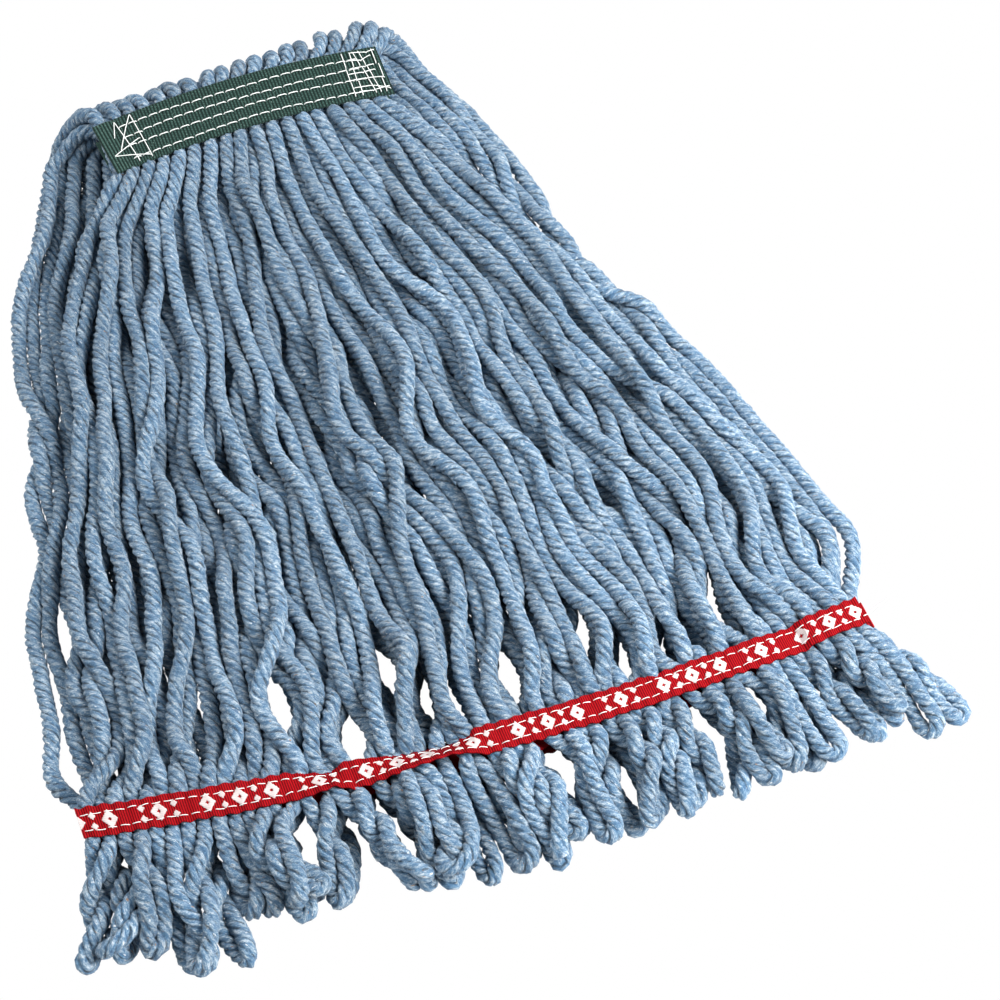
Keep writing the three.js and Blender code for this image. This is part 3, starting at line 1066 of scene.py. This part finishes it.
def green_material():
    m = Nodes(bpy.data.materials.new("green_webbing"))
    weave = m.attribute("depth")
    grain = m.noise(m.attribute("fibre", "Vector"), 900, 3, 0.7)
    # painted shade: the ramp goes to near black in the weave's hollows between ribs and knots; the
    # grain adds the thread's own unevenness
    color = m.ramp(
        m.times(weave, m.ranged(grain, 0.3, 0.7, 0.55, 1.25)),
        [(0.0, (0.003, 0.007, 0.006)), (0.45, (0.016, 0.040, 0.034)), (1.0, (0.065, 0.125, 0.105))],
    )
    speck = m.ranged(m.noise(m.stretched(1.0, 0.6), 1500, 1), 0.70, 0.78)
    color = m.mixed(speck, color, (0.20, 0.30, 0.26))
    m.bump(grain, 0.5, 0.0003)
    return m.finish(color, 0.75, 0.1, (0.8, 1.0, 0.9))


def red_material():
    m = Nodes(bpy.data.materials.new("red_webbing"))
    weave = m.attribute("depth")
    grain = m.noise(m.attribute("fibre", "Vector"), 1300, 2, 0.6)
    # painted shade: the red darkens in the weave's hollows between ribs; the grain adds the
    # thread's own unevenness
    color = m.ramp(
        m.times(weave, m.ranged(grain, 0.3, 0.7, 0.7, 1.2)),
        [(0.0, (0.06, 0.0005, 0.001)), (0.5, (0.25, 0.001, 0.004)), (1.0, (0.37, 0.003, 0.008))],
    )
    white = m.ranged(m.attribute("motif"), 0.35, 0.65)
    satin = m.mixed(white, color, (0.56, 0.49, 0.48))
    shade = m.ranged(weave, 0.4, 1.0, 0.75, 1.0)
    m.bump(grain, 0.4, 0.0003)
    return m.finish(m.scaled(satin, shade), 0.75, 0.0, (1.0, 1.0, 1.0))


def thread_material():
    m = Nodes(bpy.data.materials.new("white_thread"))
    grain = m.noise(m.stretched(0.4, 0.6), 1800, 2)
    color = m.ramp(grain, [(0.3, (0.62, 0.64, 0.62)), (0.7, (0.86, 0.87, 0.85))])
    m.bump(grain, 0.4, 0.0002)
    return m.finish(color, 0.6, 0.1, (1.0, 1.0, 1.0))


# ---------- building the pieces
def in_group(chains, kind, low, high):
    return [c for c in chains if c.group[0] == kind and low <= c.group[1] < high]


def bend(piece, bodies, start, end):
    """Bakes the piece's place into its mesh. It is not attached to the bodies or bent between them
    at start and end.
    """
    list(bodies)
    tuple(in_frame(start))
    tuple(in_frame(end))
    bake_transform(piece)


def build_skirts(chains, material):
    for k in range(SKIRT_PIECES):
        x = lerp(1 - BAND_END, BAND_END - 1, (k + 0.5) / SKIRT_PIECES)
        edge = band_point(x, -BAND_EDGE, 0)
        places = {
            "front": (edge - [0, 1.5, 0], edge - [0, 30, 0]),
            "back": ((x, 14, 34), (x, 4.7, 7.8)),
        }
        for side, seed in (("front", 100), ("back", 200)):
            some = in_group(chains, side, k / SKIRT_PIECES, (k + 1) / SKIRT_PIECES)
            node = f"{side}_strand_bundle_{k + 1:02d}"
            piece = yarn_piece(f"{side}_yarn_{k + 1:02d}", node, some, material, seed + k)
            bend(piece, ("headband", side + "_skirt"), *places[side])


def build_fringe(chains, material):
    for side, tail in (("front", FRONT_TAIL), ("back", BACK_TAIL)):
        for k in range(FRINGE_PIECES):
            loops = in_group(chains, side + "_loop", k / FRINGE_PIECES, (k + 1) / FRINGE_PIECES)
            node = f"{side}_loop_bundle_{k + 1:02d}"
            piece = yarn_piece(f"{side}_loops_{k + 1:02d}", node, loops, material, 300 + k)
            u = (k + 0.5) / FRINGE_PIECES
            down = -np.append(tail_normal(tail, u), 0)
            edge = np.array([*tail_point(tail, u), 12.0]) + down * (TAPE_WIDTH / 2 + 0.5)
            bend(piece, (side + "_skirt", side + "_fringe"), edge, edge + 24 * down)


def build_core(material):
    """The strands between the two headband tapes."""
    core = []
    for i in range(STRANDS):
        points = np.array([strand_in_band(i, y) for y in np.linspace(-15.5, 15.5, 7)])
        core.append(Chain(points, None, None, np.full(7, BAND_SQUEEZE), None))
    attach(yarn_piece("headband_core", "headband_yarn_core", core, material, 400), "headband")


def build_headband(green, white):
    def place(name, node, tubes, material, slot):
        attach(tube_piece(name, "headband_" + node, tubes, material, slot), "headband")

    outer = band_face(0, 1)
    inner = band_face(-2 * BAND["tape"] - BAND["core"] - 0.8, -1)
    xs = stations(-BAND_END, BAND_END, 0.3)
    for name, surface in (("outer", outer), ("inner", inner)):
        slab = woven_slab(surface, xs, green_edge, green_weave, -BAND["tape"], 59)
        place(f"headband_webbing_{name}", f"{name}_tape", [slab], green, "green_webbing")
    for k, row in enumerate(STITCH_ROWS):
        line = wavering(row, 0.5, 15, rng.uniform(0, 6))
        tubes = stitch_line(outer, -64, 66, line, **BAND_STITCH)
        place(f"lockstitches_{k + 1}", f"stitch_row_{k + 1}", tubes, white, "thread")
    place("left_tack_stitches", "bartack_left", left_tack(outer), white, "thread")
    place("right_tack_stitches", "bartack_right", right_tack(outer), white, "thread")


def build_tail(side, tail, outer, inner, red, white):
    """The two tapes of one tail and the stitch rows on the outer one."""

    def place(name, node, tubes, material, slot):
        names = (f"{side}_tail_{name}", f"{side}_tail_{node}")
        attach(tube_piece(*names, tubes, material, slot), side + "_skirt")

    low, high = tail["left"], tail["right"]
    looks = (("outer", outer, red_weave, 0.25, 33), ("inner", inner, plain_red_weave, 0.5, 9))
    for name, surface, weave, step, across in looks:
        xs = stations(low, high, step)
        slab = woven_slab(surface, xs, red_edge, weave, -TAPE_THICK, across)
        place(f"webbing_{name}", f"tape_{name}", [slab], red, "red_webbing")
    low, high = low + 1.2, high - 1.2
    for name, v in TAIL_ROWS:
        tubes = stitch_line(outer, low, high, wavering(v, 0.25, 9), **TAIL_STITCH)
        if side == "front" and name == "lower":
            tubes.append(loose_end(outer(np.array([high]), v, 0.3)[0]))
        place(f"stitches_{name}", f"stitch_row_{name}", tubes, white, "thread")


def loose_end(start):
    """The end of the sewing thread, left hanging beside the tape."""
    steps = np.array([(0, 0, 0), (3, 0.2, 0.6), (7, 1.6, 0.9), (11, 2.6, 0.2), (15, 4.8, -1.2)])
    return thread(start + steps)


# ---------- stage, light and camera
WORLD_LIGHT = 0.29
CAMERA = {
    "turn": math.radians(-22),
    "rise": math.radians(58.2),
    "target": (36.6, -256.8, 20),  # millimetres from ORIGIN
    "distance": 0.8884,  # metres
    "lens": 70,
}


def add_stage():
    """A pale floor, which the camera sees as plain white."""
    bpy.ops.mesh.primitive_plane_add(size=20, location=(0, 0, -0.0005))
    floor = bpy.context.object
    floor.name = "floor"
    m = Nodes(bpy.data.materials.new("pale_floor"))
    m.fill(m.surface, {"Base Color": (0.85, 0.85, 0.85, 1), "Roughness": 0.9})
    glow = m.add("Emission", {}).outputs["Emission"]
    seen = m.add("LightPath", {}).outputs["Is Camera Ray"]
    either = m.add("MixShader", {"Fac": seen, 1: m.surface.outputs["BSDF"], 2: glow})
    m.fill(m.tree.nodes["Material Output"], {"Surface": either.outputs["Shader"]})
    floor.data.materials.append(m.owner)


def add_light(name, location, size, power, target=(0, -200, 0)):
    """A square lamp. Its place and target are in millimetres from ORIGIN."""
    data = bpy.data.lights.new(name, "AREA")
    data.size = size
    data.energy = power
    lamp = new_object(name, data)
    lamp.location = in_frame(location)
    aim = Vector(in_frame(target)) - lamp.location
    lamp.rotation_euler = aim.to_track_quat("-Z", "Y").to_euler()


def add_world():
    """Even light, which the camera sees as plain white."""
    n = Nodes(bpy.data.worlds.new("studio"), "Background")
    seen = n.add("LightPath", {}).outputs["Is Camera Ray"]
    n.fill(n.surface, {"Color": (1, 1, 1, 1), "Strength": n.ranged(seen, 0, 1, WORLD_LIGHT)})
    bpy.context.scene.world = n.owner


def add_lights():
    add_world()
    bpy.context.scene.view_settings.view_transform = "Standard"
    add_light("key", (520, -640, 650), 0.5, 19)
    add_light("rim", (800, 450, 700), 0.6, 3.5)
    add_light("fill", (-900, 300, 1200), 1.0, 21)


def add_camera():
    turn, rise = CAMERA["turn"], CAMERA["rise"]
    level = math.cos(rise)
    back = Vector((math.sin(turn) * level, -math.cos(turn) * level, math.sin(rise)))
    data = bpy.data.cameras.new("camera")
    data.lens = CAMERA["lens"]
    camera = new_object("camera", data)
    camera.location = Vector(in_frame(CAMERA["target"])) + back * CAMERA["distance"]
    camera.rotation_mode = "QUATERNION"
    camera.rotation_quaternion = (-back).to_track_quat("-Z", "Y")
    bpy.context.scene.camera = camera


def build_mop():
    yarn, green, red, white = yarn_material(), green_material(), red_material(), thread_material()
    chains = make_chains()
    relax(chains, ROUNDS)
    build_skirts(chains, yarn)
    build_fringe(chains, yarn)
    build_core(yarn)
    build_headband(green, white)
    front = tail_face(FRONT_TAIL, FRONT_TAPE_Z + TAPE_THICK, 1, rucked=True)
    front_inner = tail_face(FRONT_TAIL, INNER_TAPE_Z["front"], -1)
    build_tail("front", FRONT_TAIL, front, front_inner, red, white)
    back = tail_face(BACK_TAIL, BACK_TAPE_Z - TAPE_THICK, -1)
    back_inner = tail_face(BACK_TAIL, INNER_TAPE_Z["back"], 1)
    build_tail("back", BACK_TAIL, back, back_inner, red, white)


build_mop()
add_stage()
add_lights()
add_camera()
